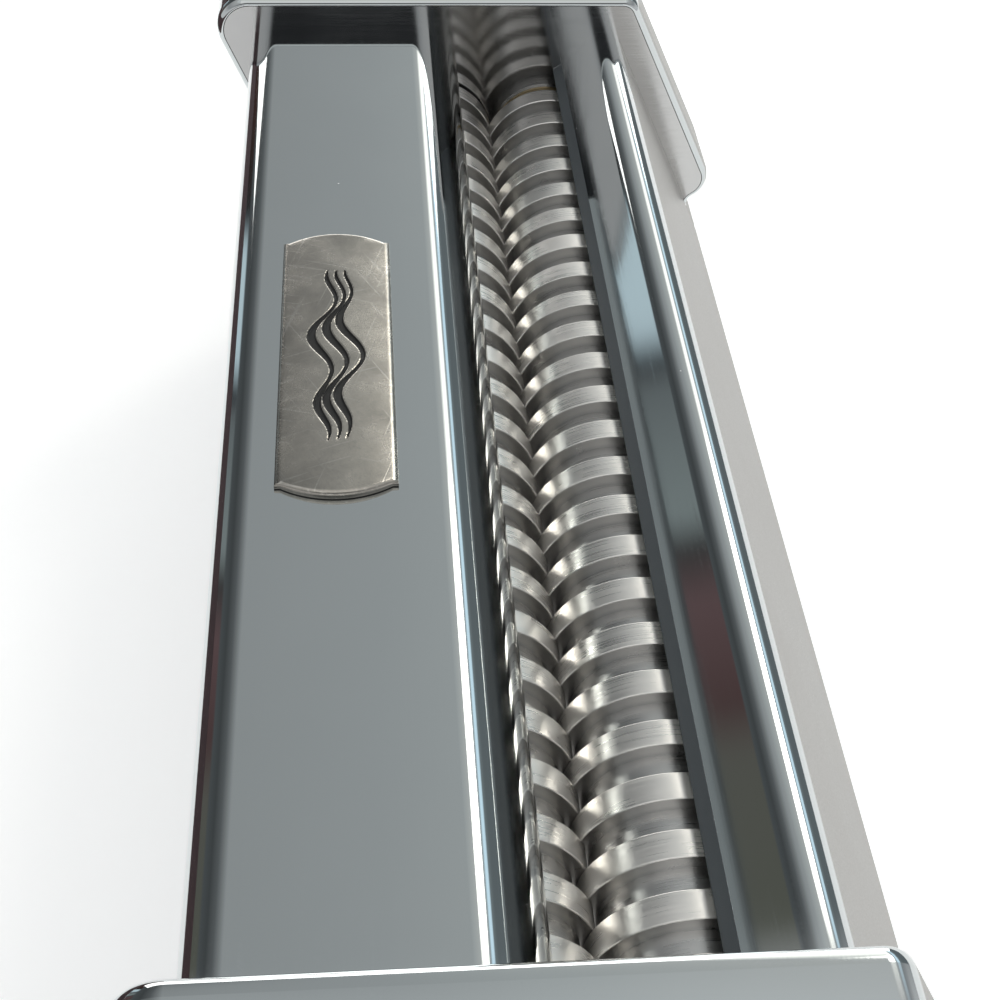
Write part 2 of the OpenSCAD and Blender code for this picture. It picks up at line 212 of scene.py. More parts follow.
def fill(bm, *rings):
    """Fills the flat or slightly crowned region inside the first ring and outside the others,
    which are convex."""
    verts = [vert for ring in rings for vert in ring]
    owners = [i for i, ring in enumerate(rings) for _ in ring]
    edges = []
    for ring in rings:
        first = len(edges)
        edges += [(first + i, first + (i + 1) % len(ring)) for i in range(len(ring))]
    spread = np.ptp([vert.co for vert in verts], axis=0)
    axes = [i for i in range(3) if i != spread.argmin()]
    flat = [Vector([vert.co[i] for i in axes]) / MM for vert in verts]
    _, _, faces, sources, _, _ = delaunay_2d_cdt(flat, edges, [], 1, 0.0001)
    for face in faces:
        corners = [sources[i][0] for i in face]
        touched = {owners[i] for i in corners}
        if len(touched) > 1 or touched == {0}:
            bm.faces.new([verts[i] for i in corners])


def bevel_arc(size, steps=4):
    """(inwards, along) offsets of a quarter round, from the side to the face."""
    turns = [math.radians(90 * i / steps) for i in range(steps + 1)]
    return [(size * (1 - math.cos(t)), size * math.sin(t)) for t in turns]


def piece(name, bm, body, look, replaces=(), origin=(0, 0, 0), sharp=35):
    """Turns a bmesh in the row frame into a smooth shaded piece that rides on a body."""
    bmesh.ops.recalc_face_normals(bm, faces=bm.faces)
    bmesh.ops.translate(bm, verts=bm.verts, vec=-Vector(origin))
    mesh = bpy.data.meshes.new(name)
    bm.to_mesh(mesh)
    bm.free()
    mesh.polygons.foreach_set("use_smooth", [True] * len(mesh.polygons))
    mesh.set_sharp_from_angle(angle=math.radians(sharp))
    mesh.materials.append(look)
    made = bpy.data.objects.new(name, mesh)
    made.location = origin
    bpy.context.scene.collection.objects.link(made)
    normals = made.modifiers.new("weighted_normals", "WEIGHTED_NORMAL")
    normals.keep_sharp = True
    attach(made, body)
    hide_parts(*replaces)


def add_prism(bm, outline, x0, x1):
    """A closed prism along X with the given outline."""
    first = add_ring(bm, [space(x0, p) for p in outline])
    last = add_ring(bm, [space(x1, p) for p in outline])
    bridge(bm, first, last)
    bm.faces.new(first)
    bm.faces.new(last)


# ---- Materials ----


class Look:
    """A material with one Principled shader, and short calls that add nodes to it."""

    def __init__(self, name, **sockets):
        self.material = bpy.data.materials.new(name)
        self.material.use_nodes = True
        self.tree = self.material.node_tree
        self.shader = self.tree.nodes["Principled BSDF"]
        for socket, value in sockets.items():
            self.shader.inputs[socket.replace("_", " ").title()].default_value = value
        coordinates = self.tree.nodes.new("ShaderNodeTexCoord")
        self.place = coordinates.outputs["Object"]
        self.normal = coordinates.outputs["Normal"]

    def node(self, kind, inputs, **settings):
        """Adds a node. An input given as a socket is linked, and any other is set."""
        made = self.tree.nodes.new(kind)
        for key, value in settings.items():
            setattr(made, key, value)
        for key, value in inputs.items():
            if isinstance(value, bpy.types.NodeSocket):
                self.tree.links.new(value, made.inputs[key])
            else:
                made.inputs[key].default_value = value
        return made

    def scaled(self, vector, factors):
        """A vector times another, axis by axis."""
        inputs = {0: vector, 1: factors}
        return self.node("ShaderNodeVectorMath", inputs, operation="MULTIPLY").outputs[0]

    def noise(self, scale, stretch=(1, 1, 1), turn=(0, 0, 0), detail=4.0, rough=0.5):
        """Noise with scale features to the metre, fewer along an axis with a small stretch."""
        turned = self.node("ShaderNodeMapping", {"Vector": self.place, "Rotation": turn})
        drawn = self.scaled(turned.outputs[0], stretch)
        inputs = {"Vector": drawn, "Scale": scale, "Detail": detail, "Roughness": rough}
        return self.node("ShaderNodeTexNoise", inputs).outputs["Fac"]

    def specks(self, scale, size, share):
        """1 on small round specks, in about a share of the cells of a grid, scale to the metre."""
        cells = self.node("ShaderNodeTexVoronoi", {"Vector": self.place, "Scale": scale})
        near = self.span(cells.outputs["Distance"], size, size * 0.6)
        pick = self.node("ShaderNodeSeparateColor", {"Color": cells.outputs["Color"]}).outputs["Red"]
        return self.times(near, self.span(pick, share, share * 0.9))

    def span(self, value, low, high, to_low=0.0, to_high=1.0):
        """Maps low..high to to_low..to_high, held at both ends."""
        inputs = {"Value": value, "From Min": low, "From Max": high, "To Min": to_low, "To Max": to_high}
        return self.node("ShaderNodeMapRange", inputs).outputs[0]

    def math(self, operation, first, second=0.0):
        return self.node("ShaderNodeMath", {0: first, 1: second}, operation=operation).outputs[0]

    def inside(self, axis, limits):
        """1 where the place is between two limits in millimetres along an axis."""
        at = self.part(self.place, axis)
        above = self.math("GREATER_THAN", at, limits[0] * MM)
        return self.times(above, self.math("LESS_THAN", at, limits[1] * MM))

    def times(self, first, second):
        return self.math("MULTIPLY", first, second)

    def plus(self, first, second):
        return self.math("ADD", first, second)

    def mix(self, share, first, second):
        """Colour that goes from first to second with share."""
        inputs = {0: share, 6: first, 7: second}
        return self.node("ShaderNodeMix", inputs, data_type="RGBA").outputs[2]

    def part(self, vector, axis):
        return self.node("ShaderNodeSeparateXYZ", {0: vector}).outputs[axis]

    def finish(self, colour=None, roughness=None, metallic=None, heights=()):
        """Links the sockets. heights are (height, depth in metres) pairs, stacked as bumps."""
        inputs = self.shader.inputs
        for socket, value in (("Base Color", colour), ("Roughness", roughness), ("Metallic", metallic)):
            if value is not None:
                self.tree.links.new(value, inputs[socket])
        below = None
        for height, depth in heights:
            settings = {"Height": height, "Distance": depth, "Strength": 1.0}
            if below is not None:
                settings["Normal"] = below
            below = self.node("ShaderNodeBump", settings).outputs[0]
        if below is not None:
            self.tree.links.new(below, inputs["Normal"])
        return self.material


def grey(value, warm=0.0):
    """A grey, a little warmer or, below 0, cooler."""
    return (value * (1 + warm), value * (1 + warm * 0.2), value * (1 - warm), 1)


def make_chrome():
    """Bright chrome plate: clear reflections, faint waves from pressing, wipe marks, and a
    little dust on what faces up. The slopes that face back, where the head slides into its
    machine, are satin, and the lip that runs along the rollers is dark and matt."""
    look = Look("chrome_plate", metallic=1.0)
    clouds = look.noise(55, detail=5)
    wipes = look.noise(2600, stretch=(0.025, 1, 1), detail=2)
    wipes_across = look.noise(3100, stretch=(1, 0.02, 1), turn=(0, 0, 0.5), detail=2)
    grain = look.noise(5200, detail=2)
    facing_up = look.span(look.part(look.normal, "Z"), 0.6, 0.8)
    dust = look.times(look.specks(170, 0.02, 0.35), facing_up)
    behind = look.span(look.part(look.place, "Y"), 0.019, 0.0195)
    facing = look.part(look.normal, "Y")
    slope = look.times(look.span(facing, 0.80, 0.89), look.span(facing, 0.915, 0.94, 1, 0))
    satin = look.times(behind, slope)
    lip = look.times(look.inside("Y", LIP_Y), look.inside("Z", LIP_Z))
    lip = look.times(lip, look.inside("X", LIP_X))
    polished = look.mix(clouds, (0.585, 0.615, 0.62, 1), (0.62, 0.645, 0.65, 1))
    matt = look.mix(clouds, grey(0.235, 0.05), grey(0.30, 0.055))
    dark = look.mix(clouds, (0.062, 0.072, 0.08, 1), (0.078, 0.09, 0.098, 1))
    metal = look.mix(lip, look.mix(satin, polished, matt), dark)
    colour = look.mix(dust, metal, grey(0.8))
    marks = look.times(look.span(wipes, 0.55, 0.75), look.span(wipes_across, 0.4, 0.7))
    polish = look.plus(look.span(clouds, 0.3, 0.7, 0.045, 0.08), look.times(marks, 0.06))
    bare = look.plus(polish, look.times(satin, look.span(grain, 0.3, 0.7, 0.22, 0.32)))
    roughness = look.plus(bare, look.times(look.math("MAXIMUM", dust, lip), 0.45))
    waves = look.noise(22, stretch=(0.35, 1, 1), detail=1)
    pits = look.times(grain, look.math("MAXIMUM", satin, lip))
    heights = [(waves, 0.0001), (wipes, 0.000001), (pits, 0.000012)]
    metallic = look.span(look.math("MAXIMUM", dust, lip), 0, 1, 1, 0)
    return look.finish(colour, roughness, metallic, heights)


def make_plate_steel():
    """Polished steel plate with fine grinding lines."""
    look = Look("polished_plate", metallic=1.0)
    grain = look.noise(4200, stretch=(1, 0.02, 1), detail=2)
    clouds = look.noise(70, detail=4)
    colour = look.mix(clouds, grey(0.5), grey(0.58, 0.01))
    roughness = look.plus(look.span(clouds, 0.3, 0.7, 0.06, 0.12), look.span(grain, 0.4, 0.8, 0, 0.05))
    return look.finish(colour, roughness, heights=[(grain, 0.000002)])


def make_roller_steel():
    """Satin steel turned on a lathe: fine rings round the axis, and painted shade that darkens the ring sides and
    groove floors.
    """
    look = Look("turned_steel", metallic=1.0)
    fine = look.noise(7000, stretch=(1, 0.012, 0.012), detail=2)
    coarse = look.noise(1100, stretch=(1, 0.02, 0.02), detail=2)
    clouds = look.noise(160, detail=4)
    # Painted shade: ring sides, found by their normal along X, and groove floors, found by radius, take the darker
    # colour
    side = look.span(look.math("ABSOLUTE", look.part(look.normal, "X")), 0.4, 0.9)
    across = look.scaled(look.place, (0, 1, 1))
    length = look.node("ShaderNodeVectorMath", {0: across}, operation="LENGTH")
    radius = length.outputs["Value"]
    depth = look.span(radius, RING_R * MM - 0.0003, FLOOR_R * MM + 0.0001)
    land = look.mix(clouds, grey(0.83, 0.03), grey(0.91, 0.04))
    # The darker colour is painted shade for the ring sides and groove floors; land is the lit steel
    dark = look.mix(clouds, grey(0.55, 0.01), grey(0.63, 0.014))
    colour = look.mix(look.math("MAXIMUM", look.times(side, 0.6), depth), land, dark)
    turned = look.span(fine, 0.35, 0.7, 0.25, 0.37)
    roughness = look.plus(turned, look.span(clouds, 0.4, 0.7, 0, 0.05))
    return look.finish(colour, roughness, heights=[(coarse, 0.0000022), (fine, 0.0000018)])


def make_badge_nickel():
    """Satin nickel, mottled with fine scratches all ways, black paint in the engraving, and a black painted shadow
    line along the plate's foot.
    """
    look = Look("badge_nickel", metallic=1.0)
    brushed = look.noise(6000, stretch=(0.03, 1, 1), detail=2)
    marks = None
    for turn in (0.3, -0.5, 1.2, 1.9):
        lines = look.noise(2400, stretch=(0.02, 1, 1), turn=(0, 0, turn), detail=1)
        scratch = look.span(lines, 0.66, 0.72)
        marks = scratch if marks is None else look.math("MAXIMUM", marks, scratch)
    clouds = look.noise(110, detail=6, rough=0.65)
    mottle = look.noise(2200, detail=4, rough=0.7)
    # The attribute is 1 in the engraving, which is black paint, and on the plate's foot ring, where it is painted
    # shade
    ink_and_shade = look.node("ShaderNodeAttribute", {}, attribute_name="ink_and_shade").outputs["Fac"]
    inked_and_shaded = look.span(ink_and_shade, 0.04, 0.3)
    tone = look.mix(look.span(clouds, 0.35, 0.65), grey(0.36, 0.085), grey(0.51, 0.09))
    worn = look.mix(look.times(marks, 0.3), tone, grey(0.68, 0.05))
    freckled = look.mix(look.span(mottle, 0.5, 0.72, 0, 0.5), worn, grey(0.30, 0.05))
    colour = look.mix(inked_and_shaded, freckled, grey(0.003))
    satin = look.plus(look.span(clouds, 0.3, 0.7, 0.14, 0.24), look.times(mottle, 0.12))
    roughness = look.plus(satin, look.times(inked_and_shaded, 0.4))
    middle = (BADGE_LOW + BADGE_HIGH)[1] / 2 * MM
    off_middle = look.math("SUBTRACT", look.part(look.place, "Y"), middle)
    across = look.math("DIVIDE", off_middle, BADGE_HALF * MM)
    crown = look.times(across, across)
    heights = [(crown, -0.00025), (brushed, 0.0000015), (mottle, 0.000004), (marks, -0.000003)]
    return look.finish(colour, roughness, look.span(inked_and_shaded, 0, 1, 1, 0), heights)


def make_satin(name, low, high, warm, rough, grain=3500, stretch=(0.05, 1, 1)):
    """A satin metal for hidden hardware: cloudy tone, fine grain and a few dark marks."""
    look = Look(name, metallic=1.0)
    lines = look.noise(grain, stretch=stretch, detail=2)
    clouds = look.noise(240, detail=5)
    stains = look.span(look.noise(420, detail=3), 0.6, 0.75)
    tone = look.mix(clouds, grey(low, warm), grey(high, warm))
    colour = look.mix(look.times(stains, 0.35), tone, grey(low * 0.5, warm))
    roughness = look.plus(look.span(clouds, 0.3, 0.7, rough, rough + 0.12), look.times(lines, 0.06))
    return look.finish(colour, roughness, heights=[(lines, 0.000004)])


def make_nylon():
    """Moulded nylon: off-white, a fine moulded grain and a soft glow."""
    look = Look("moulded_nylon", subsurface_weight=0.15, subsurface_scale=0.002)
    grain = look.noise(3800, detail=3)
    clouds = look.noise(90, detail=4)
    colour = look.mix(clouds, (0.72, 0.70, 0.63, 1), (0.80, 0.785, 0.72, 1))
    return look.finish(colour, look.span(grain, 0.3, 0.7, 0.38, 0.52), heights=[(grain, 0.000012)])


LOOKS = {
    "chrome": make_chrome(),
    "plate_steel": make_plate_steel(),
    "badge_nickel": make_badge_nickel(),
    "roller_steel": make_roller_steel(),
    "gear_steel": make_satin("milled_gear_steel", 0.30, 0.42, 0.02, 0.30),
    "fastener_steel": make_satin("zinc_steel", 0.52, 0.66, 0.01, 0.24, stretch=(1, 0.08, 0.08)),
    "bronze": make_satin("sintered_bronze", 0.40, 0.52, 0.35, 0.32),
    "nylon": make_nylon(),
}

# ---- Covers ----

BEND_R = 4.0
HEM_R = 3.0
WALL_R = 8.5
WALL_LOW = 8
WALL_TOP = 40
LIP_EDGE = np.array([-4.57, 9.72])
WALL_C = LIP_EDGE - WALL_R * direction(WALL_LOW)
WALL_TOP_N = direction(WALL_TOP)
ROLL_REACH = WALL_TOP_N @ WALL_C + WALL_R - BEND_R
ROLL_C = at_height(WALL_TOP_N, ROLL_REACH, COVER_TOP - BEND_R)
FRONT_C = np.array([-31.0, COVER_TOP - BEND_R])
FRONT_N = direction(180 + FRONT_LEAN)
FRONT_HEM = at_height(FRONT_N, FRONT_N @ FRONT_C + BEND_R - HEM_R, FLANGE_Z + HEM_R)
FRONT_FLANGE_Y = -10.0

BACK_N = direction(BACK_LEAN)
BEAD_R = 3.0
CHUTE_LEAN = 42
CHUTE_N = direction(180 - CHUTE_LEAN)
CHUTE_REACH = CHUTE_N @ CHUTE_FOOT
LIP_N = turned_up(CHUTE_FOOT - CHUTE_EDGE) / np.linalg.norm(CHUTE_FOOT - CHUTE_EDGE)
BEAD_C = crossing(CHUTE_N, CHUTE_REACH - BEAD_R, BACK_N, BACK_REACH - BEAD_R)
SKIRT_Y = SKIRT_REACH - HEM_R
SKIRT_C = np.array([SKIRT_Y, (BACK_REACH - HEM_R - BACK_N[0] * SKIRT_Y) / BACK_N[1]])
REAR_HEM = np.array([SKIRT_Y, FLANGE_Z + HEM_R])
REAR_FLANGE_Y = 22.0

# Where the tabs start and end, along Y on the flat top and along Z on the slanted panels
TOP_TAB_Y = (-19, -27)
PANEL_TAB_Z = (-4, -12)
BACK_TAB_Z = (8, 1)


def front_skin(depth):
    """One face of the front cover's sheet, depth under its outer skin."""
    return [
        *arc(WALL_C, WALL_R - depth, WALL_LOW, WALL_TOP, step=1.5),
        *arc(ROLL_C, BEND_R - depth, WALL_TOP, 90)[1:],
        *arc(FRONT_C, BEND_R - depth, 90, 180 + FRONT_LEAN),
        *arc(FRONT_HEM, HEM_R - depth, 180 + FRONT_LEAN, 270),
        np.array([FRONT_FLANGE_Y, FLANGE_Z + depth]),
    ]


def rear_skin(depth):
    """One face of the rear cover's sheet, depth under its outer skin."""
    return [
        CHUTE_EDGE - depth * LIP_N,
        crossing(LIP_N, LIP_N @ CHUTE_EDGE - depth, CHUTE_N, CHUTE_REACH - depth),
        *arc(BEAD_C, BEAD_R - depth, 180 - CHUTE_LEAN, BACK_LEAN),
        *arc(SKIRT_C, HEM_R - depth, BACK_LEAN, 0),
        *arc(REAR_HEM, HEM_R - depth, 0, -90),
        np.array([REAR_FLANGE_Y, FLANGE_Z + depth]),
    ]


def sheet_outline(skin, ease=0.22):
    """Closed outline of a bent sheet, with its two cut edges broken."""
    outer = skin(0)
    inner = skin(SHEET_T)[::-1]
    count = len(outer)
    return eased(outer + inner, (0, count - 1, count, 2 * count - 1), ease)


def strip(start, end, normal):
    """Outline of a flat tab of sheet whose outer skin runs from start to end."""
    return [start, end, end - SHEET_T * normal, start - SHEET_T * normal]


def add_tabs(bm, outline):
    """Tabs that pass through slots in both side plates."""
    for side in (-1, 1):
        add_prism(bm, outline, side * HALF, side * PLATE_OUT)


def build_front_cover():
    bm = bmesh.new()
    add_prism(bm, sheet_outline(front_skin), -HALF, HALF)
    add_tabs(bm, strip(*[np.array([y, COVER_TOP]) for y in TOP_TAB_Y], direction(90)))
    panel = FRONT_N @ FRONT_C + BEND_R
    add_tabs(bm, strip(*[at_height(FRONT_N, panel, z) for z in PANEL_TAB_Z], FRONT_N))
    piece("front_cover_shell", bm, "housing", LOOKS["chrome"], ["front_cover"])


def build_rear_cover():
    bm = bmesh.new()
    add_prism(bm, sheet_outline(rear_skin), -HALF, HALF)
    add_tabs(bm, strip(*[at_height(BACK_N, BACK_REACH, z) for z in BACK_TAB_Z], BACK_N))
    piece("rear_cover_shell", bm, "housing", LOOKS["chrome"], ["rear_cover"])


# ---- End caps ----

NOSE_R = 5.0
FOOT_R = 8.0
TOE_R = 5.0
LUG_R = 4.0
NOTCH_R = 2.0
BROW_R = 3.0
NOSE_C = np.array([NOSE_R - NOSE_REACH, RIM_TOP - NOSE_R])
FOOT_C = at_height(FRONT_N, FRONT_N @ NOSE_C + NOSE_R - FOOT_R, TABLE_Z + FOOT_R)
TOE_C = np.array([SKIRT_REACH - TOE_R, TABLE_Z + TOE_R])
LUG_N = direction(LUG_LEAN)
LUG_C = np.array([LUG_REACH - LUG_R, -8.67])
BROW_C = at_height(LUG_N, LUG_N @ LUG_C + LUG_R - BROW_R, RIM_TOP - BROW_R)
NOTCH_OFF = BACK_REACH + NOTCH_R - BACK_N @ LUG_C
NOTCH_RUN = math.sqrt((LUG_R + NOTCH_R) ** 2 - NOTCH_OFF**2)
NOTCH_C = LUG_C + NOTCH_OFF * BACK_N - NOTCH_RUN * turned_up(BACK_N)
NOTCH_A = math.degrees(math.atan2(*(LUG_C - NOTCH_C)[::-1]))
CAP_BEND = 2.4
RIM_ROUND = (0.95, 1.9)
SCREW_HOLE_EASE = 0.15
CRANK_HOLE_EASE = 0.6


def cap_outline(depth=0.0):
    """Outline of an end cap, moved inwards by depth."""
    return [
        *arc(NOSE_C, NOSE_R - depth, 90, 180 + FRONT_LEAN),
        *arc(FOOT_C, FOOT_R - depth, 180 + FRONT_LEAN, 270),
        *arc(TOE_C, TOE_R - depth, 270, 360),
        *arc(SKIRT_C, HEM_R - depth, 0, BACK_LEAN),
        *arc(NOTCH_C, NOTCH_R + depth, 180 + BACK_LEAN, NOTCH_A),
        *arc(LUG_C, LUG_R - depth, NOTCH_A - 180, LUG_LEAN)[1:],
        *arc(BROW_C, BROW_R - depth, LUG_LEAN, 90),
    ]


def cap_path():
    """(depth, x) stations of a cap's wall, from its inner face round the rim to its outer face."""
    cap_in = CAP_OUT - CAP_WALL
    inner_bend = [
        (CAP_WALL + inwards, cap_in - CAP_BEND + CAP_WALL + along)
        for inwards, along in bevel_arc(CAP_BEND - CAP_WALL)
    ]
    inwards_round, along_round = RIM_ROUND
    rim = [
        (inwards * inwards_round, HALF + along_round * (1 - along))
        for inwards, along in bevel_arc(1, 8)
    ]
    outer_bend = [(inwards, CAP_OUT - CAP_BEND + along) for inwards, along in bevel_arc(CAP_BEND, 8)]
    return inner_bend[::-1] + [(CAP_WALL, HALF)] + rim[::-1] + outer_bend


def add_hole(bm, side, centre, radius, ease):
    """Walls of a hole through a cap's face, and its two edge rings."""
    inner = CAP_OUT - CAP_WALL
    stations = [(radius, inner), (radius, CAP_OUT - ease), (radius + ease * 0.3, CAP_OUT - ease * 0.3)]
    stations.append((radius + ease, CAP_OUT))
    rings = [add_ring(bm, [space(side * x, p) for p in circle(centre, r)]) for r, x in stations]
    for first, second in zip(rings, rings[1:]):
        bridge(bm, first, second)
    return rings[0], rings[-1]


def build_end_cap(name, side):
    bm = bmesh.new()
    rings = [add_ring(bm, [space(side * x, p) for p in cap_outline(d)]) for d, x in cap_path()]
    for first, second in zip(rings, rings[1:]):
        bridge(bm, first, second)
    holes = [add_hole(bm, side, p, STUD_R, SCREW_HOLE_EASE) for p in (TOP_ROD, BACK_ROD)]
    if side > 0:
        holes.append(add_hole(bm, side, (AXIS_GAP / 2, 0), CRANK_HOLE_R, CRANK_HOLE_EASE))
    fill(bm, rings[0], *[hole[0] for hole in holes])
    fill(bm, rings[-1], *[hole[1] for hole in holes])
    piece(name + "_shell", bm, "housing", LOOKS["chrome"], [name])


# ---- Rollers ----

RING_EASE = 0.16
JOURNAL_EASE = 0.5
BARREL_EASE = 0.3
SEAT_EASE = 0.4
SOCKET_EASE = 0.5
CLIP_GAP = 0.3
CLIP_GROOVE_W = 1.0
SEAT_GAP = 0.25


def add_lathe(bm, profile, axis, segments=160):
    """Turns (x, radius) stations about an axis along X. A radius of 0 closes an end."""
    rings = []
    for x, radius in profile:
        centre = np.array(axis[1:]) - MID
        points = circle(centre, radius, segments) if radius > 0 else [centre]
        rings.append(add_ring(bm, [space(x, p) for p in points]))
    for first, second in zip(rings, rings[1:]):
        if len(first) == len(second):
            bridge(bm, first, second)
            continue
        tip, ring = sorted((first, second), key=len)
        for i, vert in enumerate(ring):
            bm.faces.new((tip[0], vert, ring[(i + 1) % len(ring)]))
    return rings


def ring_stations(near):
    """One cutting ring, from its near side to its far side, with broken edges."""
    corner = bevel_arc(RING_EASE, 3)
    rise = [(near - inwards, RING_R - RING_EASE + along) for inwards, along in corner]
    fall = [(near - RING_W + inwards, RING_R - RING_EASE + along) for inwards, along in corner[::-1]]
    return [(near, FLOOR_R), *rise, *fall, (near - RING_W, FLOOR_R)]


def roller_stations(first_x, near_end):
    """Stations from the near journal's end to the far shaft end."""
    clip_x = FLANGE_OUT + CLIP_GAP
    clip_end = clip_x + CLIP_GROOVE_W
    seat_x = -FLANGE_OUT - SEAT_GAP
    far_x = box_mm("driven_roller")[0][0]
    stations = [
        (near_end, JOURNAL_R - JOURNAL_EASE), (near_end - JOURNAL_EASE, JOURNAL_R),
        (clip_end, JOURNAL_R), (clip_end, CLIP_GROOVE_R),
        (clip_x, CLIP_GROOVE_R), (clip_x, JOURNAL_R),
        (BARREL_END, JOURNAL_R), (BARREL_END, FLOOR_R - BARREL_EASE),
        (BARREL_END - BARREL_EASE, FLOOR_R),
    ]
    for i in range(RING_COUNT):
        stations += ring_stations(first_x - i * RING_PITCH)
    stations += [
        (BARREL_EASE - BARREL_END, FLOOR_R),
        (-BARREL_END, FLOOR_R - BARREL_EASE), (-BARREL_END, JOURNAL_R),
        (seat_x, JOURNAL_R), (seat_x, SEAT_R),
        (far_x + SEAT_EASE, SEAT_R), (far_x, SEAT_R - SEAT_EASE), (far_x, 0),
    ]
    return stations


def build_driven_roller():
    axis = AXES["driven"]
    first_x = (RING_COUNT - 1) * RING_PITCH / 2 + CUT_SHIFT
    near_end = box_mm("driven_roller")[1][0]
    bm = bmesh.new()
    add_lathe(bm, [(near_end, 0), *roller_stations(first_x, near_end)], axis)
    build_roller(bm, "driven", axis)


def build_drive_roller():
    """The driven one's twin, with a crank socket that ends in a slot for the crank's tongue."""
    axis = AXES["drive"]
    first_x = RING_COUNT * RING_PITCH / 2 + CUT_SHIFT
    near_end = box_mm("drive_roller")[1][0]
    floor_x = near_end - SOCKET_DEPTH
    width, height, depth = TONGUE
    bm = bmesh.new()
    mouth = [
        (floor_x, SOCKET_R), (near_end - SOCKET_EASE, SOCKET_R), (near_end, SOCKET_R + SOCKET_EASE),
    ]
    rings = add_lathe(bm, [*mouth, *roller_stations(first_x, near_end)], axis)
    signs = ((-1, -1), (1, -1), (1, 1), (-1, 1))
    corners = [(up * height / 2, over * width / 2) for up, over in signs]
    centre = np.array(axis[1:]) - MID
    slot_top = add_ring(bm, [space(floor_x, centre + c) for c in corners])
    slot_floor = add_ring(bm, [space(floor_x - depth, centre + c) for c in corners])
    bridge(bm, slot_top, slot_floor)
    bm.faces.new(slot_floor)
    fill(bm, rings[0], slot_top)
    build_roller(bm, "drive", axis)


def build_roller(bm, body, axis):
    origin = Vector(axis) * MM
    name = body + "_roller"
    piece(name + "_turned", bm, body, LOOKS["roller_steel"], [name], origin)


# ---- Badge ----

BADGE_SHOULDER = 0.6
BADGE_SAGITTA = 1.7
BADGE_BEVEL = 0.55
# Height of the badge's lowest band, painted black as a painted shadow line; the crown starts above it
BADGE_SHADE_BAND = 0.15
BADGE_CROWN = 0.25
FIELD = (40.8, 11.1)
STRAND_RUN = 30.5
FIELD_STEP = 0.12
GROOVE_DEPTH = 0.22

# The engraved strands: how they sway, how far apart they run and how they swell, in mm
STRANDS = 3
SWAY = 1.15
SWAY_PITCH = 12.5
SWAY_LAG = 0.55
STRAND_GAP = 1.35
GAP_SWING = 0.45
GAP_PITCH = 25
THIN_HALF = 0.16
SWELL = 0.30
SWELL_LAG = 0.9
THINNEST = 0.02
EDGE_SOFT = 0.16


def badge_outline():
    """A long plate with bowed ends, as (along X, along Y) points from its centre."""
    length, width = (BADGE_HIGH - BADGE_LOW)[:2]
    end_half = width / 2 - BADGE_SHOULDER
    end_r = (end_half**2 + BADGE_SAGITTA**2) / (2 * BADGE_SAGITTA)
    end_c = np.array([length / 2 - end_r, 0])
    sweep = math.degrees(math.asin(end_half / end_r))
    corner = np.array([length / 2 - BADGE_SAGITTA, width / 2])
    flip = np.array([-1, 1])
    return [
        -corner * flip, *arc(end_c, end_r, -sweep, sweep), corner,
        corner * flip, *arc(-end_c, end_r, 180 - sweep, 180 + sweep), -corner,
    ]


def strand_depth(u, v):
    """Depth share of the engraving at u along and v across: strands that swell and part."""
    deepest = 0.0
    ends = max(0.0, 1 - (2 * u / STRAND_RUN) ** 4)
    for k in range(STRANDS):
        lift = k - (STRANDS - 1) / 2
        phase = 2 * math.pi * u / SWAY_PITCH + SWAY_LAG * k
        gap = STRAND_GAP + GAP_SWING * math.cos(2 * math.pi * u / GAP_PITCH)
        line = lift * gap + SWAY * math.sin(phase) * ends
        swell = 0.5 + 0.5 * math.cos(phase + SWELL_LAG)
        half_width = (THIN_HALF + SWELL * swell) * ends
        slope = math.cos(phase) * 2 * math.pi / SWAY_PITCH * SWAY
        off = abs(v - line) / math.sqrt(1 + slope**2)
        if half_width > THINNEST:
            share = (half_width + EDGE_SOFT / 2 - off) / EDGE_SOFT
            deepest = max(deepest, min(1.0, max(0.0, share)))
    return deepest * deepest * (3 - 2 * deepest)


def build_badge():
    centre = (BADGE_LOW + BADGE_HIGH) / 2
    base, top = BADGE_LOW[2], BADGE_HIGH[2]

    def at(point, z):
        """A point of the badge, lowered with its height so that the top is crowned."""
        share = (z - base - BADGE_SHADE_BAND) / (top - base - BADGE_SHADE_BAND)
        drop = BADGE_CROWN * max(0, share) * (point[1] / BADGE_HALF) ** 2
        return Vector((centre[0] + point[0], centre[1] + point[1], z - drop)) * MM

    outline = badge_outline()
    bm = bmesh.new()
    ink_and_shade = bm.verts.layers.float.new("ink_and_shade")
    rings = [add_ring(bm, [at(p, z) for p in outline]) for z in (base, base + BADGE_SHADE_BAND)]
    # The foot ring is painted black: a painted shadow line along the badge's foot, where it meets the cover
    for vert in rings[0]:
        vert[ink_and_shade] = 1
    for inwards, along in bevel_arc(BADGE_BEVEL, 5):
        rings.append(add_ring(bm, [at(p, top - BADGE_BEVEL + along) for p in inset(outline, inwards)]))
    for first, second in zip(rings, rings[1:]):
        bridge(bm, first, second)
    fill(bm, rings[0])
    counts = [round(size / FIELD_STEP) for size in FIELD]
    grid = []
    for i in range(counts[0] + 1):
        u = FIELD[0] * (i / counts[0] - 0.5)
        column = []
        for j in range(counts[1] + 1):
            v = FIELD[1] * (j / counts[1] - 0.5)
            depth = strand_depth(u, v)
            vert = bm.verts.new(at((u, v), top - GROOVE_DEPTH * depth))
            vert[ink_and_shade] = depth
            column.append(vert)
        grid.append(column)
    for first, second in zip(grid, grid[1:]):
        bridge(bm, first, second, closed=False)
    border = [c[0] for c in grid] + grid[-1][1:] + [c[-1] for c in grid[-2::-1]] + grid[0][-2:0:-1]
    fill(bm, rings[-1], border)
    look = LOOKS["badge_nickel"]
    piece("badge_plate_engraved", bm, "housing", look, ["badge_plate"])


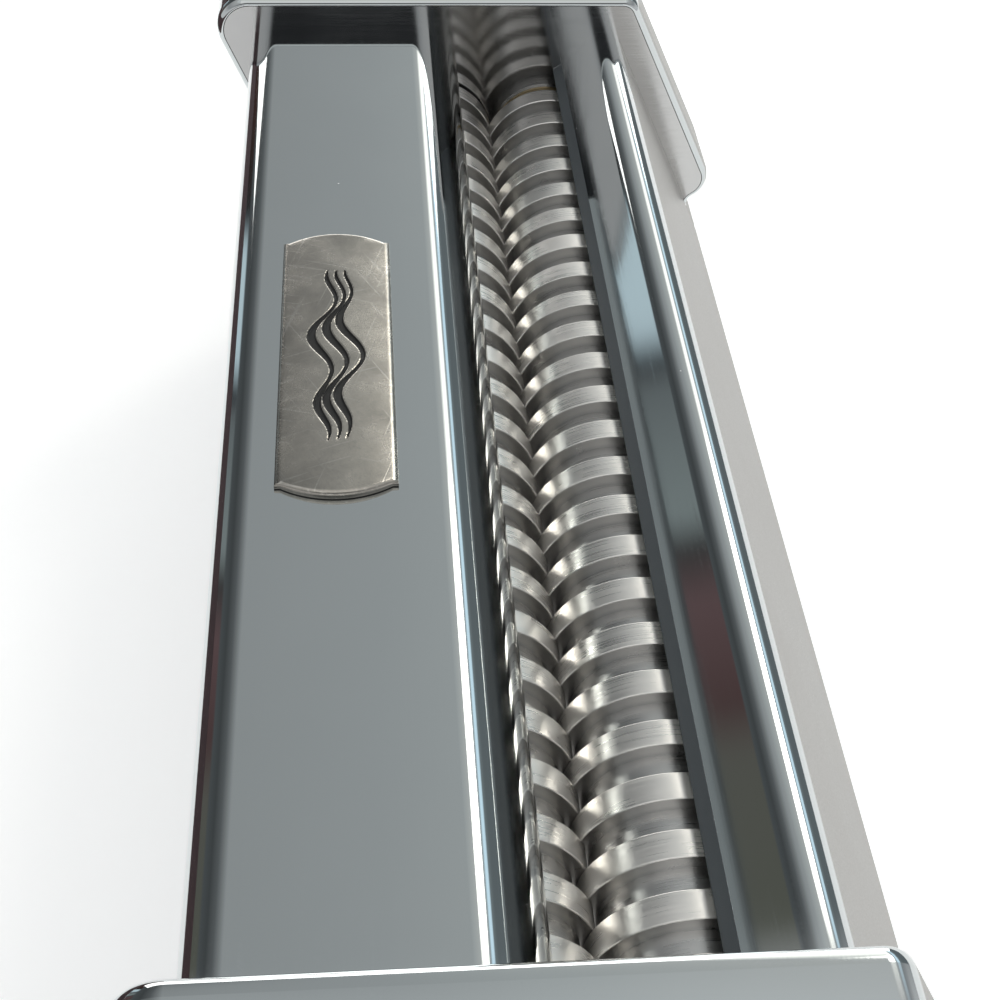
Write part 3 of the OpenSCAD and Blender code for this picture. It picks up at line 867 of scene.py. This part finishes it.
build_front_cover()
build_rear_cover()
build_end_cap("near_end_cap", 1)
build_end_cap("far_end_cap", -1)
build_drive_roller()
build_driven_roller()
build_badge()

# ---- CAD nodes that keep their mesh: finished edges and procedural materials ----

EDGE_BREAK = {
    "near_side_plate": 0.15, "far_side_plate": 0.15, "near_cap_screws": 0.2, "far_cap_screws": 0.2,
    "near_pillars": 0.25, "far_pillars": 0.25, "near_nuts": 0.25, "far_nuts": 0.25,
    "drive_gear": 0.08, "driven_gear": 0.08, "front_comb": 0.12, "rear_comb": 0.12,
}
WELD_GAP = 0.001
EDGE_ANGLE = 40

SLOTS = {part["node"]: part["material_slot"] for part in frame["record"]["subparts"]}
for name, node in frame["nodes"].items():
    look = LOOKS[SLOTS[name]]
    node.data.materials.clear()
    node.data.materials.append(look)
    if name in EDGE_BREAK:
        weld = node.modifiers.new("weld", "WELD")
        weld.merge_threshold = WELD_GAP * MM
        bevel = node.modifiers.new("bevel", "BEVEL")
        bevel.width = EDGE_BREAK[name] * MM
        bevel.segments = 2
        bevel.angle_limit = math.radians(EDGE_ANGLE)
        bevel.harden_normals = True

# ---- Floor, light and camera. Sizes here are in metres, but for the floor's gap ----

FLOOR_GLOW = 0.44
FLOOR_REACH = 4.0
FLOOR_GAP = 0.05
BACKDROP_GLOW = 0.8
BACKDROP_R = 3.5
BACKDROP_TOP = 4.0
BACKDROP_SIDES = 60
CARD_REACH = 0.6
CARD_Y = -0.125
CARD_TOP = 0.055


def build_floor():
    """A plain pale floor just under the lowest point, with a glow that keeps it near white."""
    look = Look("pale_floor", roughness=0.9, emission_color=grey(1.0), emission_strength=FLOOR_GLOW)
    clouds = look.noise(3, detail=3)
    grain = look.noise(300, detail=2)
    look.finish(look.mix(clouds, grey(0.88), grey(0.9)), heights=[(grain, 0.0001)])
    mesh = bpy.data.meshes.new("floor")
    low = cad_box[0].z - FLOOR_GAP * MM
    signs = ((-1, -1), (1, -1), (1, 1), (-1, 1))
    corners = [(a * FLOOR_REACH, b * FLOOR_REACH, low) for a, b in signs]
    mesh.from_pydata(corners, [], [(0, 1, 2, 3)])
    mesh.materials.append(look.material)
    floor = bpy.data.objects.new("floor", mesh)
    bpy.context.scene.collection.objects.link(floor)


# Radiance of the studio round the rollers' direction: (degrees from overhead towards +Y, colour)
STUDIO = (
    (-100, (0.10, 0.09, 0.09)),
    (-66, (0.09, 0.10, 0.105)),
    (-48, (0.07, 0.077, 0.08)),
    (-30, (0.13, 0.14, 0.145)),
    (-18, (0.25, 0.265, 0.27)),
    (-8, (0.37, 0.39, 0.395)),
    (0, (0.41, 0.435, 0.44)),
    (6, (0.47, 0.50, 0.50)),
    (18, (0.56, 0.58, 0.57)),
    (42, (0.52, 0.56, 0.58)),
    (46, (0.40, 0.47, 0.50)),
    (48, (0.86, 1.12, 1.27)),
    (54, (0.86, 1.12, 1.27)),
    (57, (0.22, 0.26, 0.27)),
    (66, (0.155, 0.18, 0.19)),
)

# Radiance of the rest of the studio, by the height of a ray
ELSEWHERE = (
    (-0.05, (0.70, 0.71, 0.71)),
    (0.25, (0.66, 0.67, 0.68)),
    (0.50, (0.34, 0.35, 0.36)),
    (0.80, (0.52, 0.53, 0.53)),
    (0.86, (0.70, 0.73, 0.74)),
    (1.00, (0.48, 0.49, 0.49)),
)

# Radiance low on the front side, by how far a ray runs towards -X for each unit across
FRONT_SIDE = (
    (0.55, (0.11, 0.115, 0.095)),
    (0.72, (0.12, 0.12, 0.105)),
    (0.77, (0.09, 0.055, 0.055)),
    (0.88, (0.14, 0.09, 0.093)),
    (0.94, (0.05, 0.05, 0.05)),
    (0.98, (0.25, 0.29, 0.29)),
    (1.15, (0.16, 0.18, 0.185)),
    (1.19, (0.03, 0.032, 0.035)),
    (1.24, (0.60, 0.74, 0.80)),
    (1.43, (0.62, 0.77, 0.83)),
    (1.48, (0.02, 0.02, 0.02)),
    (1.70, (0.05, 0.028, 0.026)),
)

# The far window: its share by angle, its share by the same run towards -X, and its radiance
WINDOW = ((22, 0), (29, 1), (39, 1), (42, 0))
WINDOW_ALONG = ((0.40, 0), (0.56, 0.1), (0.68, 1), (0.90, 1), (1.08, 0.11), (1.9, 0.1))
WINDOW_RADIANCE = (12.0, 11.7, 10.7, 1)

# Share of ELSEWHERE by the X part of a ray
REST_SHARE = ((-0.50, 0), (-0.44, 1))

# The dark place behind the camera: its share by the X part and by the height of a ray
BEHIND_ALONG = ((0.70, 0), (0.78, 1))
BEHIND_HEIGHT = ((0.36, 0), (0.42, 1), (0.60, 1), (0.68, 0))
BEHIND_RADIANCE = (0.03, 0.032, 0.035, 1)


def build_world():
    """A plain studio that lights by the direction of a ray: bands round the rollers' direction,
    a soft window at the far end and a dark place behind the camera."""
    world = bpy.data.worlds.new("studio")
    bpy.context.scene.world = world
    world.use_nodes = True
    tree = world.node_tree
    background = tree.nodes["Background"]

    def add(kind, *inputs, **settings):
        made = tree.nodes.new(kind)
        for key, value in settings.items():
            setattr(made, key, value)
        for socket, value in zip(made.inputs, inputs):
            tree.links.new(value, socket)
        return made

    def maths(operation, *inputs):
        return add("ShaderNodeMath", *inputs, operation=operation).outputs[0]

    def ramp(value, stops):
        """A colour that goes from stop to stop as the value grows."""
        low, high = stops[0][0], stops[-1][0]
        share = add("ShaderNodeMapRange", value)
        share.inputs["From Min"].default_value = low
        share.inputs["From Max"].default_value = high
        made = add("ShaderNodeValToRGB", share.outputs[0])
        elements = made.color_ramp.elements
        while len(elements) > 1:
            elements.remove(elements[-1])
        for i, (at, colour) in enumerate(stops):
            place = (at - low) / (high - low)
            element = elements[0] if i == 0 else elements.new(place)
            element.position = place
            element.color = (*colour, 1)
        return made.outputs["Color"]

    def level(value, stops):
        return ramp(value, [(at, (amount,) * 3) for at, amount in stops])

    def mix(share, first, second):
        made = add("ShaderNodeMix", data_type="RGBA")
        for socket, value in ((0, share), (6, first), (7, second)):
            if isinstance(value, tuple):
                made.inputs[socket].default_value = value
            else:
                tree.links.new(value, made.inputs[socket])
        return made.outputs[2]

    split = add("ShaderNodeSeparateXYZ", add("ShaderNodeTexCoord").outputs["Generated"])
    x, y, z = split.outputs
    angle = maths("DEGREES", maths("ARCTAN2", y, z))
    across = maths("SQRT", maths("ADD", maths("MULTIPLY", y, y), maths("MULTIPLY", z, z)))
    slope = maths("DIVIDE", maths("ABSOLUTE", x), across)
    low_front = level(angle, ((-72, 1), (-66, 0)))
    round_about = mix(low_front, ramp(angle, STUDIO), ramp(slope, FRONT_SIDE))
    window = maths("MULTIPLY", level(angle, WINDOW), level(slope, WINDOW_ALONG))
    lengthways = mix(window, round_about, WINDOW_RADIANCE)
    behind = maths("MULTIPLY", level(x, BEHIND_ALONG), level(z, BEHIND_HEIGHT))
    elsewhere = mix(behind, ramp(z, ELSEWHERE), BEHIND_RADIANCE)
    studio = mix(level(x, REST_SHARE), lengthways, elsewhere)
    tree.links.new(studio, background.inputs["Color"])


def build_backdrop():
    """A round pale wall behind everything that only the camera sees, for low views."""
    look = Look(
        "pale_backdrop", roughness=0.9, emission_color=grey(1.0), emission_strength=BACKDROP_GLOW
    )
    look.finish(look.mix(look.noise(2, detail=2), grey(0.1), grey(0.12)))
    bm = bmesh.new()
    round_about = [BACKDROP_R * direction(360 * i / BACKDROP_SIDES) for i in range(BACKDROP_SIDES)]
    foot, head = (add_ring(bm, [Vector((*p, z)) for p in round_about]) for z in (0, BACKDROP_TOP))
    bridge(bm, foot, head)
    mesh = bpy.data.meshes.new("backdrop")
    bm.to_mesh(mesh)
    bm.free()
    mesh.materials.append(look.material)
    wall = bpy.data.objects.new("backdrop", mesh)
    wall.visible_diffuse = False
    wall.visible_glossy = False
    wall.visible_transmission = False
    wall.visible_shadow = False
    bpy.context.scene.collection.objects.link(wall)


def build_dark_card():
    """A dark card low on the front side, seen only in reflections: it edges the front roll."""
    look = Look("dark_card", roughness=0.9)
    look.finish(look.mix(look.noise(9, detail=2), (0.05, 0.03, 0.033, 1), (0.08, 0.045, 0.05, 1)))
    mesh = bpy.data.meshes.new("dark_card")
    foot = [(-CARD_REACH, CARD_Y, 0), (CARD_REACH, CARD_Y, 0)]
    head = [(CARD_REACH, CARD_Y, CARD_TOP), (-CARD_REACH, CARD_Y, CARD_TOP)]
    mesh.from_pydata(foot + head, [], [(0, 1, 2, 3)])
    mesh.materials.append(look.material)
    card = bpy.data.objects.new("dark_card", mesh)
    card.visible_camera = False
    card.visible_diffuse = False
    card.visible_shadow = False
    bpy.context.scene.collection.objects.link(card)


def soft_light(name, centre, size, radiance, colour):
    """A rectangular soft light at centre that faces the object, of an even radiance."""
    data = bpy.data.lights.new(name, "AREA")
    data.shape = "RECTANGLE"
    data.size, data.size_y = size
    data.energy = radiance * math.pi * size[0] * size[1]
    data.color = colour
    light = bpy.data.objects.new(name, data)
    bpy.context.scene.collection.objects.link(light)
    back = Vector(centre).normalized()
    along = Vector((1, 0, 0))
    across = back.cross(along).normalized()
    along = across.cross(back)
    turn = Matrix((along, across, back)).transposed()
    light.matrix_world = Matrix.Translation(centre) @ turn.to_4x4()
    light.visible_camera = False


def build_lights():
    soft_light(
        "ceiling", centre=(0.35, 0.0, 1.3), size=(1.2, 1.3), radiance=0.3, colour=(1.0, 0.97, 0.93)
    )
    soft_light(
        "far_window", centre=(-1.6, 0.0, 0.38), size=(0.56, 1.7), radiance=2.6,
        colour=(1.0, 0.99, 0.97),
    )


# The photo's camera: yaw, pitch and roll in degrees, its place in mm, and its lens and film in mm
CAMERA_TURNS = (6.15, 43.64, 2.87)
CAMERA_PLACE = (139.8, -16.4, 165.6)
LENS = 57.6
FILM_WIDTH = 36
NEAREST_SEEN = 0.005


def build_camera():
    """Above the crank end, looking down along the rollers towards the far cap."""
    yaw, pitch, roll = (math.radians(a) for a in CAMERA_TURNS)
    level_run = math.cos(pitch)
    ahead = Vector((-level_run * math.cos(yaw), level_run * math.sin(yaw), -math.sin(pitch)))
    level = ahead.cross(Vector((0, 0, 1))).normalized()
    upright = level.cross(ahead)
    right = level * math.cos(roll) + upright * math.sin(roll)
    up = upright * math.cos(roll) - level * math.sin(roll)
    data = bpy.data.cameras.new("camera")
    data.lens = LENS
    data.sensor_width = FILM_WIDTH
    data.clip_start = NEAREST_SEEN
    camera = bpy.data.objects.new("camera", data)
    bpy.context.scene.collection.objects.link(camera)
    turn = Matrix((right, up, -ahead)).transposed()
    camera.matrix_world = Matrix.Translation(Vector(CAMERA_PLACE) * MM) @ turn.to_4x4()
    bpy.context.scene.camera = camera


build_floor()
build_backdrop()
build_dark_card()
build_world()
build_lights()
build_camera()
bpy.context.scene.view_settings.view_transform = "Standard"
